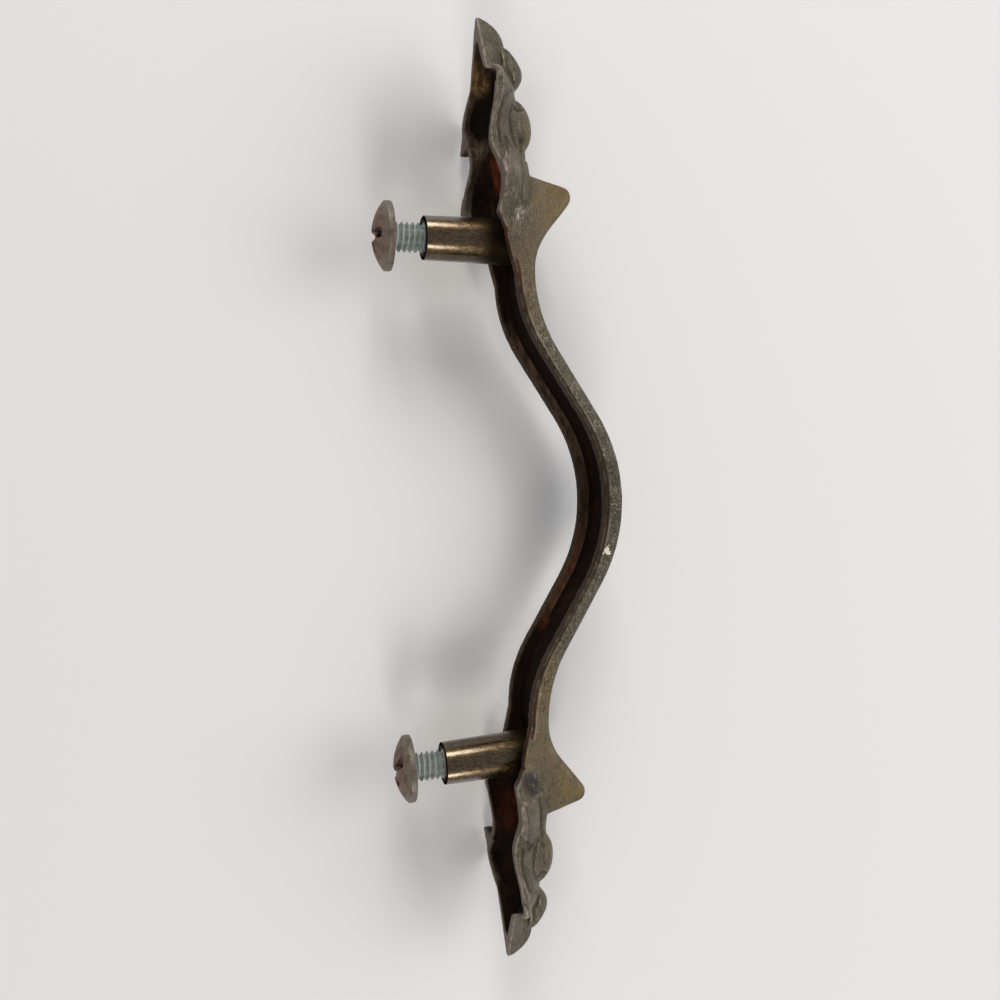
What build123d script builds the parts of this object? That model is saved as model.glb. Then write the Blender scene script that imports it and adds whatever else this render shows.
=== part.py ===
from build123d import *
import os
from math import acos, atan2, cos, degrees, hypot, radians, sin, tan
from typing import NamedTuple

# Bow drawer pull: one hollow-backed casting with leaf ends and two integral tapped posts,
# and the two truss-head machine screws that hold it to a drawer front.
# X runs along the pull, -Y faces the user, +Y goes into the drawer front, +Z is up.
# The origin lies midway between the posts, on the drawer front, where the posts' ends bear.
# The pieces are drawn about the plane of the leaf rims, with a height h at y = -h,
# and moved forward by the posts' reach when they are written.

# Posts and their tapped holes
post_spacing = 76.2
post_reach = 8.9            # from the leaf rims back to the post's end
post_end_radius = 3.05
post_draft = 1.0            # degrees on each side
post_edge_chamfer = 0.2
hole_depth = 13.6
hole_mouth_radius = 2.5
hole_mouth_depth = 0.6

# Machine screws
thread_diameter = 4.17
thread_clearance = 0.05     # between the shank and the hole, on the radius
screw_length = 15.9
screw_tip_chamfer = 0.6
screw_standoff = 4.6        # from the post's end to the head's underside
head_diameter = 9.5
head_height = 2.6
head_edge = 0.9             # straight edge of the head below its dome
slot_width = 1.3
slot_depth = 1.0
recess_wing = 1.1           # width of a cross-recess wing
recess_reach = 4.6          # across two opposite wings at the head's crown
recess_depth = 1.7
right_screw_turn = -5.0     # degrees of the driver slot from upright
left_screw_turn = 38.0

# Bow, a shallow channel with rounded front edges
bow_width = 11.4
bow_projection = 18.9       # front of the bow
bow_depth = 3.0             # front to rim
bow_wall = 1.7
bow_floor = 1.4             # thickness of the front
bow_edge_round = 1.1
bow_rim_round = 0.4
crest_radius = 23.5
neck_height = 6.2           # front of the neck
neck_setback = 5.4          # neck from the post's axis, towards the middle
neck_radius = 20.0

# Ear, the bow's flared end that stands over the leaf
ear_radius = 9.0
ear_angle = 37.0            # degrees of its front from the pull's length
ear_height = 12.7           # its corner before rounding
ear_lean = 14.0             # degrees of its end face from square
ear_corner_round = 1.5
ear_foot = 1.8              # lowest point of its solid, within the leaf

# Leaf
leaf_wall = 1.5
rim_share = 0.2             # part of a side's height that is the upright rim edge
ridge_share = 0.35          # width of the body's top ridge, of its brow
body_height = 4.6           # its brow
body_crest = 5.3            # its ridge
lobe_lift = 0.8             # gap under the upper lobe's outer end, behind the tip leaf
lobe_lift_from = 18.4       # where it starts, outward from the post's axis
lobe_lift_to = 22.4         # where it is full
barb_root = 18.6            # where the lower lobe's barb leaves its rim, outward from the post's axis
barb_root_half = 9.2        # half width there
barb_point = 14.9
barb_point_half = 8.9
barb_notch = 15.8           # where the barb's end meets the waist
barb_notch_half = 5.4
barb_curl = 0.7             # point behind the rim plane
barb_thickness = 1.5
neck_lift_from = 2.4        # where the rim starts to rise to the bow
strap_rise = 0.55           # strap over the body
strap_foot = 8.4            # where its outer end leaves the rim, outward from the post's axis
strap_out = 12.6            # its pointed end
strap_tip = 2.8             # height of that point
strap_top = 10.0            # where its outer end meets the brow
strap_end = 3.6             # its inner end
boss_base = 3.0             # button and hump start here, within the leaf
cavity_overrun = 1.0        # cutters start this far behind the rims

post_x = post_spacing / 2
neck_x = post_x - neck_setback
hole_radius = thread_diameter / 2 + thread_clearance


class Station(NamedTuple):
    """One cross-section of the tip leaf, at a distance outward from the post's axis."""
    out: float
    half: float             # half width at the rim
    brow: float             # half width where the side meets the top
    brow_height: float
    crest: float            # height on the centre line


class Girth(NamedTuple):
    """Half widths of the leaf's body at a distance outward from the post's axis."""
    out: float
    rim: float
    brow: float             # where the side meets the top


class Bead(NamedTuple):
    """One cross-section of a raised form on the leaf's centre line."""
    out: float
    half: float
    side: float             # height where its side turns into the arched top
    crest: float


TIP_LEAF = [
    Station(31.4, 0.3, 0.15, 0.7, 0.85),
    Station(30.5, 0.8, 0.4, 2.0, 2.4),
    Station(29.3, 1.35, 0.7, 3.0, 3.5),
    Station(27.7, 2.1, 1.0, 3.5, 4.1),
    Station(25.4, 3.2, 1.4, 3.6, 4.3),
    Station(21.8, 5.4, 2.2, 3.6, 4.5),
]
# Half widths of the leaf's body, from its side lobes over the waist and shoulders to the bow
BODY = [
    Girth(23.4, 3.4, 2.0),
    Girth(22.0, 6.7, 2.2),
    Girth(20.4, 9.0, 2.6),
    Girth(18.4, 9.4, 3.4),
    Girth(16.4, 8.2, 3.9),
    Girth(14.8, 6.6, 4.0),
    Girth(13.4, 5.9, 3.7),
    Girth(12.0, 5.9, 3.7),
    Girth(10.4, 6.9, 4.3),
    Girth(8.6, 8.2, 5.0),
    Girth(6.6, 9.4, 5.4),
    Girth(4.6, 8.9, 5.5),
    Girth(2.4, 7.6, 5.5),
    Girth(0.6, 6.5, 5.5),
    Girth(-1.2, 5.6, 5.4),
]
HUMP = [
    Bead(27.4, 0.8, 3.2, 3.9),
    Bead(26.2, 2.1, 4.2, 5.2),
    Bead(25.0, 2.7, 4.5, 6.1),
    Bead(23.8, 3.0, 4.6, 6.6),
    Bead(22.6, 3.0, 4.6, 6.4),
    Bead(21.4, 2.6, 4.3, 5.2),
]
BUTTON = [
    Bead(19.6, 1.8, 4.6, 5.4),
    Bead(18.6, 3.1, 5.3, 6.8),
    Bead(17.6, 3.6, 5.6, 7.3),
    Bead(16.6, 3.9, 5.7, 7.6),
    Bead(15.6, 4.0, 5.7, 7.7),
    Bead(14.6, 3.8, 5.7, 7.6),
    Bead(13.6, 3.2, 5.6, 7.2),
    Bead(12.6, 2.3, 5.4, 6.6),
]
STEM = [
    Bead(14.5, 2.6, 5.8, 6.7),
    Bead(7.0, 2.6, 5.8, 6.7),
]


def bow_angle():
    """Slope of the bow's straight flank, tangent to the crest arc and to the neck arc."""
    arcs = crest_radius + neck_radius
    rise = arcs - (bow_projection - neck_height)
    return degrees(atan2(neck_x, rise) - acos(arcs / hypot(neck_x, rise)))


def bow_line(inset):
    """The bow's front line from crest to neck, moved straight back by the inset."""
    slope = bow_angle()
    arcs = crest_radius + neck_radius
    flank = (neck_x - arcs * sin(radians(slope))) / cos(radians(slope))
    crest = JernArc((0, inset - bow_projection), (1, 0), crest_radius, slope)
    straight = Line(crest @ 1, crest @ 1 + (crest % 1) * flank)
    neck = JernArc(straight @ 1, straight % 1, neck_radius, -slope)
    return [crest, straight, neck]


def ear_corner(inset):
    """The ear's unrounded corner, with both its faces moved inwards by the inset."""
    rise = ear_height - neck_height - ear_radius * (1 - cos(radians(ear_angle)))
    corner_x = neck_x + ear_radius * sin(radians(ear_angle)) + rise / tan(radians(ear_angle))
    step = inset / cos(radians(ear_angle - ear_lean))
    along = sin(radians(ear_lean)) - cos(radians(ear_angle))
    back = sin(radians(ear_angle)) + cos(radians(ear_lean))
    return Vector(corner_x + step * along, -ear_height + step * back)


def bow_outline(front_inset, back_inset, foot):
    """Front, end and back edges of half the bow with its ear, seen from the side."""
    front = bow_line(front_inset)
    rise = JernArc(front[-1] @ 1, (1, 0), ear_radius, -ear_angle)
    corner = ear_corner(front_inset)
    foot_x = corner.X - (foot + corner.Y) * tan(radians(ear_lean))
    end = Line(corner, (foot_x, -foot))
    front_edges = front + [rise, Line(rise @ 1, corner), end]
    back = bow_line(back_inset)
    sole = Polyline((foot_x, -foot), (post_x, -foot), back[-1] @ 1)
    middle = Line(back[0] @ 0, front[0] @ 0)
    return front_edges, back, [sole, middle]


def edges_along(solid, lines, half_width):
    """Edges of an upright solid that run along the given side-view lines at both of its faces."""
    def on_line(edge):
        point = edge @ 0.5
        return any(line.distance_to((point.X, point.Y, 0)) < 0.001 for line in lines)
    return [edge for edge in solid.edges() if abs((edge @ 0.5).Z) > half_width - 0.001 and on_line(edge)]


def bow_blank():
    """Half of the bow with its ear, before it is hollowed."""
    front, back, closing = bow_outline(0, bow_depth, ear_foot)
    face = make_face(front + back + closing)
    face = fillet(face.vertices().sort_by_distance(ear_corner(0))[0], ear_corner_round)
    corner_arc = face.edges().sort_by_distance(ear_corner(0))[0]
    blank = extrude(face, bow_width / 2, both=True)
    blank = fillet(edges_along(blank, front + [corner_arc], bow_width / 2), bow_edge_round)
    return fillet(edges_along(blank, back, bow_width / 2), bow_rim_round)


def bow_cavity():
    """Cutter for the channel in the bow's back and for the hollow of the ear."""
    front, back, closing = bow_outline(bow_floor, bow_depth + cavity_overrun, -cavity_overrun)
    return extrude(make_face(front + back + closing), bow_width / 2 - bow_wall, both=True)


def tip_section(station, inset):
    """Cross-section of the tip leaf, moved inwards by the inset and run out behind the rim."""
    x = post_x + station.out
    half = station.half - inset
    brow = station.brow * half / station.half
    brow_y = inset - station.brow_height
    rim_y = 0 if inset == 0 else cavity_overrun
    edge_y = -rim_share * station.brow_height
    points = [(x, rim_y, half), (x, edge_y, half), (x, brow_y, brow)]
    mirrored = [(px, py, -pz) for px, py, pz in reversed(points)]
    side = Polyline(*points)
    top = ThreePointArc(points[-1], (x, inset - station.crest, 0), mirrored[0])
    far_side = Polyline(*mirrored)
    bottom = Line(mirrored[-1], points[0])
    return make_face([*side.edges(), top, *far_side.edges(), bottom])


def tip_leaf(stations, inset=0):
    """The pointed leaf at the pull's end, lofted through its stations."""
    return loft([tip_section(station, inset) for station in stations])


def level(halves, height):
    """Flat outline of the leaf's body at one height, from its half widths on both sides."""
    points = [(post_x + girth.out, -height, half) for girth, half in zip(BODY, halves)]
    mirrored = [(x, y, -z) for x, y, z in reversed(points)]
    length = BODY[0].out - BODY[-1].out
    steps = [(BODY[0].out - girth.out) / length for girth in BODY]
    near = Edge.make_spline(points, parameters=steps)
    far = Edge.make_spline(mirrored, parameters=[1 - step for step in reversed(steps)])
    return make_face([near, Line(near @ 1, far @ 0), far, Line(far @ 1, near @ 0)])


def leaf_body(inset=0):
    """The leaf's body: upright rim edge, sloping side up to the brow, and a low pitched top.

    A positive inset gives the cutter for its hollow, a negative one a layer laid over it.
    """
    start = -cavity_overrun if inset > 0 else 0
    rim = [girth.rim - inset for girth in BODY]
    brow = [girth.brow - inset for girth in BODY]
    ridge = [ridge_share * half for half in brow]
    levels = [
        level(rim, start),
        level(rim, rim_share * body_height),
        level(brow, body_height - inset),
        level(ridge, body_crest - inset),
    ]
    return loft(levels, ruled=True)


def strap():
    """Raised strap over the shoulders, with its pointed end on the waist's side."""
    outline = Polyline(
        (post_x + strap_foot, cavity_overrun), (post_x + strap_foot, 0), (post_x + strap_out, -strap_tip),
        (post_x + strap_top, -body_height), (post_x + strap_foot, -bow_projection),
        (post_x + strap_end, -bow_projection), (post_x + strap_end, cavity_overrun), close=True,
    )
    return leaf_body(-strap_rise) & extrude(make_face(outline), bow_width, both=True)


def rim_lift(start, end, height, both_sides):
    """Cutter that raises the rim on the upper side or on both, to its full height at the end."""
    beyond = end + (end - start) / 2
    outline = Polyline(
        (post_x + start, 0), (post_x + end, -height), (post_x + beyond, -height),
        (post_x + beyond, cavity_overrun), (post_x + start, cavity_overrun), close=True,
    )
    return extrude(make_face(outline), bow_width, dir=(0, 0, 1), both=both_sides)


def barb_section(outer, inner, curl, thickness):
    """Upright section of a barb between two (outward, half width) points, the first one curled back."""
    (outer_out, outer_half), (inner_out, inner_half) = outer, inner
    outline = Polyline(
        (post_x + outer_out, curl, outer_half), (post_x + outer_out, curl - thickness, outer_half),
        (post_x + inner_out, -thickness, inner_half), (post_x + inner_out, 0, inner_half), close=True,
    )
    return make_face(outline)


def barb():
    """Hooked inner end of the lower side lobe, which curls back behind the rim."""
    rim_edge = rim_share * body_height
    root = barb_section((barb_root, barb_root_half), (barb_root, barb_root_half - leaf_wall), 0, rim_edge)
    point, notch = (barb_point, barb_point_half), (barb_notch, barb_notch_half)
    end = barb_section(point, notch, barb_curl, barb_thickness)
    return mirror(loft([root, end], ruled=True), Plane.XY)


def bead_section(bead):
    """Cross-section of a raised form, with upright sides and an arched top."""
    x = post_x + bead.out
    near = Line((x, -boss_base, bead.half), (x, -bead.side, bead.half))
    top = ThreePointArc(near @ 1, (x, -bead.crest, 0), (x, -bead.side, -bead.half))
    far = Line(top @ 1, (x, -boss_base, -bead.half))
    return make_face([near, top, far, Line(far @ 1, near @ 0)])


def beads(stations):
    """A raised form lofted through its stations."""
    return loft([bead_section(bead) for bead in stations])


def post():
    """One tapered post, trimmed where it meets the front of the ear."""
    length = post_reach + ear_height
    root_radius = post_end_radius + length * tan(radians(post_draft))
    cone = Cone(post_end_radius, root_radius, length, align=(Align.CENTER, Align.CENTER, Align.MIN))
    cone = chamfer(cone.edges().sort_by(Axis.Z)[0], post_edge_chamfer)
    cone = Pos(post_x, post_reach, 0) * Rot(90, 0, 0) * cone
    front, back, closing = bow_outline(bow_floor / 2, bow_depth, ear_foot)
    within_ear = extrude(make_face(front + back + closing), bow_width / 2, both=True)
    behind = Pos(post_x, bow_depth - neck_height, 0) * Box(
        bow_width, 2 * post_reach, bow_width, align=(Align.CENTER, Align.MIN, Align.CENTER))
    return cone & (within_ear + behind)


def screw_hole():
    """Cutter for the tapped hole, with its opened mouth."""
    shaft = Cylinder(hole_radius, hole_depth, align=(Align.CENTER, Align.CENTER, Align.MIN))
    mouth = Cone(hole_mouth_radius, hole_radius, hole_mouth_depth,
                 align=(Align.CENTER, Align.CENTER, Align.MIN))
    return Pos(post_x, post_reach, 0) * Rot(90, 0, 0) * (shaft + mouth)


def pull_casting():
    """The whole casting, from one half and its mirror image."""
    body = leaf_body() + strap() - rim_lift(lobe_lift_from, lobe_lift_to, lobe_lift, False)
    body = body - rim_lift(neck_lift_from, BODY[-1].out, neck_height - bow_depth, True)
    half = bow_blank() + tip_leaf(TIP_LEAF) + body
    half = half + beads(HUMP) + beads(BUTTON) + beads(STEM)
    half = half - bow_cavity() - tip_leaf(TIP_LEAF[3:], leaf_wall) - leaf_body(leaf_wall)
    half = half + barb() + post() - screw_hole()
    return half + mirror(half, Plane.YZ)


def screw(side, turn):
    """A truss-head machine screw in the post on the given side, with its head behind the post."""
    seat = post_reach + screw_standoff
    radius = thread_diameter / 2
    profile = Polyline(
        (0, head_height), (0, -screw_length), (radius - screw_tip_chamfer, -screw_length),
        (radius, -screw_length + screw_tip_chamfer), (radius, 0), (head_diameter / 2, 0),
        (head_diameter / 2, head_edge),
    )
    sphere = ((head_diameter / 2) ** 2 + (head_height - head_edge) ** 2) / (2 * (head_height - head_edge))
    dome = RadiusArc((head_diameter / 2, head_edge), (0, head_height), -sphere)
    body = revolve(Plane.XZ * make_face([*profile.edges(), dome]), Axis.Z)
    crown = Pos(0, 0, head_height)
    slot = crown * Box(head_diameter, slot_width, 2 * slot_depth)
    wing = crown * Box(recess_reach, recess_wing, 2 * recess_depth)
    body = body - slot - wing - Rot(0, 0, 90) * wing
    return Pos(side * post_x, seat, 0) * Rot(-90, 0, 0) * Rot(0, 0, 90 + turn) * body


seated = Pos(0, -post_reach, 0)
os.makedirs("parts", exist_ok=True)
export_step(seated * pull_casting(), "parts/pull_casting.step")
export_step(seated * screw(1, right_screw_turn), "parts/right_screw.step")
export_step(seated * screw(-1, left_screw_turn), "parts/left_screw.step")
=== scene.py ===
"""Dresses the drawer pull: an aged casting, burnished posts, zinc screws and a plain stage."""

import math
from types import SimpleNamespace

import bmesh
import bpy
import numpy as np
from bpy.props import FloatProperty, FloatVectorProperty, IntProperty, PointerProperty
from bpy.types import Operator, Panel, PropertyGroup
from mathutils import Matrix, Vector
from mathutils.bvhtree import BVHTree


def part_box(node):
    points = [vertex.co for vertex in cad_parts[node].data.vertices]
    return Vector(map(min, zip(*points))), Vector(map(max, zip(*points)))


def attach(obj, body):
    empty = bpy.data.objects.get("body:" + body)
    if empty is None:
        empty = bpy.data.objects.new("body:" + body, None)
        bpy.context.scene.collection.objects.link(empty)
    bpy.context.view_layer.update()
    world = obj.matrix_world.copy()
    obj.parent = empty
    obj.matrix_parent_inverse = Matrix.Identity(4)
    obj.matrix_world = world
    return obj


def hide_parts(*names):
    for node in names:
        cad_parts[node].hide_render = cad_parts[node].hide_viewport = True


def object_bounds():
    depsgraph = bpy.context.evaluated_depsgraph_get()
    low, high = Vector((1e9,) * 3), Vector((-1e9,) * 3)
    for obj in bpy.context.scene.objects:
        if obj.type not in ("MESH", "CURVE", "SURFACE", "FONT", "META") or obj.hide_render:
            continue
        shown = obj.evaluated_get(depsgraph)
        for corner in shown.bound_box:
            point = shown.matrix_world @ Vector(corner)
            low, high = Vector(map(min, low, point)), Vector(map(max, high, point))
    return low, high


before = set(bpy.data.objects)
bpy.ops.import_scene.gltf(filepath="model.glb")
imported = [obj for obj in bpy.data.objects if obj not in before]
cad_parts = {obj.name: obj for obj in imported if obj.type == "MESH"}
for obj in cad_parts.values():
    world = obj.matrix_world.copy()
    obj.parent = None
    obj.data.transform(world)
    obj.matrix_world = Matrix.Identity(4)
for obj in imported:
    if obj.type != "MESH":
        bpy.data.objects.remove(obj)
CAD_BOX = [list(corner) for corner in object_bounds()]

bl_info = {
    "name": "Drawer Pull",
    "version": (1, 0, 0),
    "blender": (4, 5, 0),
    "location": "3D View > Sidebar > Drawer Pull",
    "description": "Aged casting, burnished posts, zinc screws and stage of a drawer pull",
    "category": "Object",
}

MM = 0.001
SIDES = ("right", "left")
POST_X = (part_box("right_screw")[0].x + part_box("right_screw")[1].x) / 2.0
RIM_Y = -8.9 * MM           # plane of the leaf rims, in front of the posts' ends
POST_CUT_Y = -8.2 * MM      # here a turned post takes over from the casting's own
POST_FIELD = 4.0 * MM       # half width of the square round a post's axis in which the post lies
STRAP_END = 3.6 * MM        # inner end of a strap, out from the post's axis
STRAP_POINT = (12.4 * MM, 2.8 * MM)     # point of a strap, out from that axis and over the rims
BLEND_PASSES = 60           # smoothing passes that blend a strap's ends into the leaf
RAY_START = 0.05 * MM       # rays start this far over the skin
SHELTER_REACH = 7.0 * MM    # walls this near shelter a point
STATION = 0.3 * MM          # steps along the pull at which the height of its rims is found
HEAD_OVERLAP = 0.02 * MM    # a head reaches this far into its thread
POST_CRISP = math.radians(35.0)         # edges of a post that turn further stay crisp
THREAD_CRISP = math.radians(40.0)       # edges of a thread that turn further stay crisp
CORE_SIDES = 64             # sides of the core under a thread
FLOOR_GAP = 0.05 * MM       # the floor lies this far under the pull
FLOOR_REACH = 1.2           # half width of the floor, in metres
AIM = (0.0, -0.012, 0.0)    # middle of the pull, at which the lights look
BACKWARD = (0.0, 1.0, 0.0)  # towards the drawer
EVEN = (1.0, 1.0, 1.0)      # no stretch
MIX_FIRST, MIX_SECOND, MIX_RESULT = 6, 7, 2     # places of a mix node's colour sockets

# Marks on the casting, two of them painted highlights, in mm: centre, radius, soft share of the radius,
# and stretch
MARKS = {
    "stain": ((-40.5, -11.3, 6.4), 2.3, 0.6, EVEN),
    "knock": ((-7.6, -24.8, 5.8), 1.4, 1.0, EVEN),
    # Painted highlight on the right leaf's shoulder by its post.
    "shoulder_glint": ((40.7, -12.1, 5.7), 2.4, 1.0, EVEN),
    "right leaf rust": ((48.4, -12.0, -1.6), 4.4, 0.6, (0.8, 1.0, 2.2)),
    "left leaf rust": ((-48.6, -11.4, -3.6), 4.6, 0.7, EVEN),
    "bow rust": ((-19.5, -18.2, -4.2), 1.8, 0.7, EVEN),
    "bare plating": ((62.2, -10.0, -3.0), 2.9, 0.7, EVEN),
    # Painted highlight on the floor of the right leaf's hollow.
    "clean metal": ((52.4, -10.4, -4.6), 2.6, 0.8, EVEN),
}

# Grooves of the leaves' relief in mm: points (out from the post, over the rims), and share of the depth
GROOVES = (
    ([(13.0, 2.5), (10.6, 4.3), (6.5, 3.75), (4.4, 3.6)], 1.0),
    ([(13.0, 2.4), (11.0, 1.85), (6.5, 0.95), (4.4, 1.0)], 0.5),
    ([(17.6, 5.4), (17.2, 3.4), (15.9, 2.9), (14.8, 3.2), (13.6, 3.6), (12.4, 4.4)], 0.9),
    ([(12.4, 1.4), (14.2, 1.0), (15.7, 1.0), (17.1, 1.3), (18.6, 2.5), (19.8, 3.7)], 0.9),
    ([(25.0, 3.9), (23.0, 3.6), (21.6, 4.6)], 0.7),
)


def tone(red, green, blue):
    """A screen colour, 0 to 255, as the linear colour with alpha that a socket takes."""
    def linear(value):
        share = value / 255.0
        if share <= 0.04045:
            return share / 12.92
        return ((share + 0.055) / 1.055) ** 2.4

    return (linear(red), linear(green), linear(blue), 1.0)


def length(name, description, default):
    """A length property, in metres."""
    return FloatProperty(name=name, description=description, default=default, min=0.0,
                         unit="LENGTH", precision=5)


def colour(name, description, red, green, blue):
    """A colour property from a screen colour."""
    return FloatVectorProperty(name=name, description=description, size=4, min=0.0, max=1.0,
                               subtype="COLOR", default=tone(red, green, blue))


class CastingSettings(PropertyGroup):
    """Sizes and colours of the casting."""

    grain: length("Grain", "Size of the cells that the casting's skin is worked in", 0.2 * MM)
    softening: IntProperty(name="Softening", description="Smoothing passes over the casting's edges",
                           default=3, min=0)
    limit: IntProperty(name="Limit", description="Most triangles in the casting",
                       default=185000, min=1000)
    unevenness: length("Unevenness", "How far the cast skin rises and falls", 0.07 * MM)
    swell: length("Swell", "Size of the skin's rises and falls", 2.2 * MM)
    vein_depth: length("Vein depth", "Depth of the grooves in the leaves", 0.32 * MM)
    vein_width: length("Vein width", "Half width of those grooves", 0.26 * MM)
    spring: FloatProperty(name="Spring", description="Roll of the right strap, which is bent a little",
                          default=math.radians(3.4), subtype="ANGLE")
    dark: colour("Dark patina", "Darker tone of the mottled sides", 49, 43, 31)
    # The pale patina colour also paints the highlight in the right leaf's hollow.
    pale: colour("Pale patina", "Paler tone of the mottled sides", 109, 102, 81)
    blush: colour("Blush", "Pinkish tone in patches", 112, 98, 84)
    speck: colour("Specks", "Bare metal specks in the patina", 166, 157, 133)
    brass: colour("Brass", "Plating that shows on the ears", 122, 98, 58)
    edge: colour("Worn edge", "Metal on rubbed edges", 172, 158, 140)
    back: colour("Back", "Leaf rims that face the drawer", 110, 92, 82)
    # Also the painted shade on the rounding along the bow's near rim.
    bow_back_and_shade: colour("Dark back", "Bow rims that face the drawer", 46, 32, 22)
    # The hollow colour is painted shade: the near black of the hollow back away from the light.
    hollow: colour("Hollow", "Soot-black floor of the hollow back", 20, 12, 8)
    wall: colour("Wall", "Brown inner walls of the hollow back", 90, 70, 54)
    rust: colour("Rust", "Rust in the hollow", 116, 54, 29)
    gold: colour("Bare plating", "Plating left inside the right tip", 158, 122, 76)
    # This colour is both the metal that knocks laid bare and the painted highlight on the right leaf's
    # shoulder.
    bright: colour("Bright metal", "Metal laid bare by knocks", 222, 214, 190)
    stain: colour("Stain", "Dark stains and pits", 38, 36, 35)
    # The crest colour is also the painted shade in the casting's sheltered corners and grooves.
    crest: colour("Crest", "Dark tone of the bow's crest", 44, 36, 27)


class PostSettings(PropertyGroup):
    """Sizes and colours of the two posts."""

    end_radius: length("End radius", "Outer radius at the drawer", 3.05 * MM)
    root_radius: length("Root radius", "Outer radius inside the casting", 3.32 * MM)
    root_depth: length("Root depth", "How far a post runs into the casting", 14.0 * MM)
    edge_round: length("Edge round", "Rounding of the outer edge", 0.2 * MM)
    mouth_radius: length("Mouth radius", "Countersunk mouth of the hole", 2.5 * MM)
    mouth_depth: length("Mouth depth", "Depth of the countersink", 0.6 * MM)
    hole_radius: length("Hole radius", "Radius of the tapped hole", 2.135 * MM)
    hole_depth: length("Hole depth", "Depth of the tapped hole", 13.6 * MM)
    metal: colour("Metal", "Burnished brass", 98, 77, 42)
    tarnish: colour("Tarnish", "Dull tone in the brass", 60, 44, 23)
    # This colour is painted shade: on the posts' end faces and towards the casting.
    end_and_root_shade: colour("Soot", "Blackened ends and mouths", 26, 21, 16)


class ScrewSettings(PropertyGroup):
    """Sizes and colours of the two screws."""

    crest_radius: length("Crest radius", "Outer radius of the thread", 2.085 * MM)
    root_radius: length("Root radius", "Radius at the bottom of the thread", 1.6 * MM)
    pitch: length("Pitch", "Distance between thread crests", 25.4 / 32.0 * MM)
    head_seat: length("Head seat", "Distance of the head's underside from the post's end", 4.6 * MM)
    tip: length("Tip", "Distance from the core's end to the middle of the first ridge", 25.4 / 32.0 * MM)
    turn_steps: IntProperty(name="Turn steps", description="Segments in one turn of the thread",
                            default=48, min=8)
    grain: length("Grain", "Size of the cells that a head's skin is worked in", 0.1 * MM)
    softening: IntProperty(name="Softening", description="Smoothing passes over a head's edges",
                           default=9, min=0)
    zinc: colour("Zinc", "Plating of the thread", 212, 217, 213)
    # This colour is both the duller zinc patches and the painted shade on the flanks that face the head.
    zinc_dull_and_shade: colour("Dull zinc", "Dark flanks of the thread", 112, 118, 113)
    head: colour("Head", "Dull brown of the heads", 116, 92, 77)
    head_rust: colour("Head rust", "Darker rust on the heads", 82, 58, 45)
    rim: colour("Rim", "Grey metal at the heads' rims", 118, 113, 101)


class StageSettings(PropertyGroup):
    """Floor, lights and camera."""

    floor: colour("Floor", "Pale floor", 233, 230, 227)
    lens: FloatProperty(name="Lens", description="Focal length on a 36 mm sensor", default=28.8, min=1.0)
    camera_place: FloatVectorProperty(name="Camera", description="Place of the camera", size=3,
                                      unit="LENGTH", default=(7.1 * MM, 24.8 * MM, 113.3 * MM))
    camera_right: FloatVectorProperty(name="Right", description="Direction to the picture's right",
                                      size=3, default=(-0.0332, -0.9543, 0.2970))
    camera_down: FloatVectorProperty(name="Down", description="Direction to the picture's foot",
                                     size=3, default=(-0.9980, 0.0487, 0.0448))
    key: FloatProperty(name="Key", description="Power of the key light",
                       default=1.65, min=0.0, unit="POWER")
    side: FloatProperty(name="Side", description="Power of the far side light",
                        default=1.5, min=0.0, unit="POWER")
    near_share: FloatProperty(name="Near share", description="Near side light's power over the far one's",
                              default=0.7, min=0.0, subtype="FACTOR")
    sky: FloatProperty(name="Sky", description="Strength of the even light", default=0.43, min=0.0)


SETTINGS = {
    "pull_casting_settings": CastingSettings,
    "pull_post_settings": PostSettings,
    "pull_screw_settings": ScrewSettings,
    "pull_stage_settings": StageSettings,
}


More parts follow.
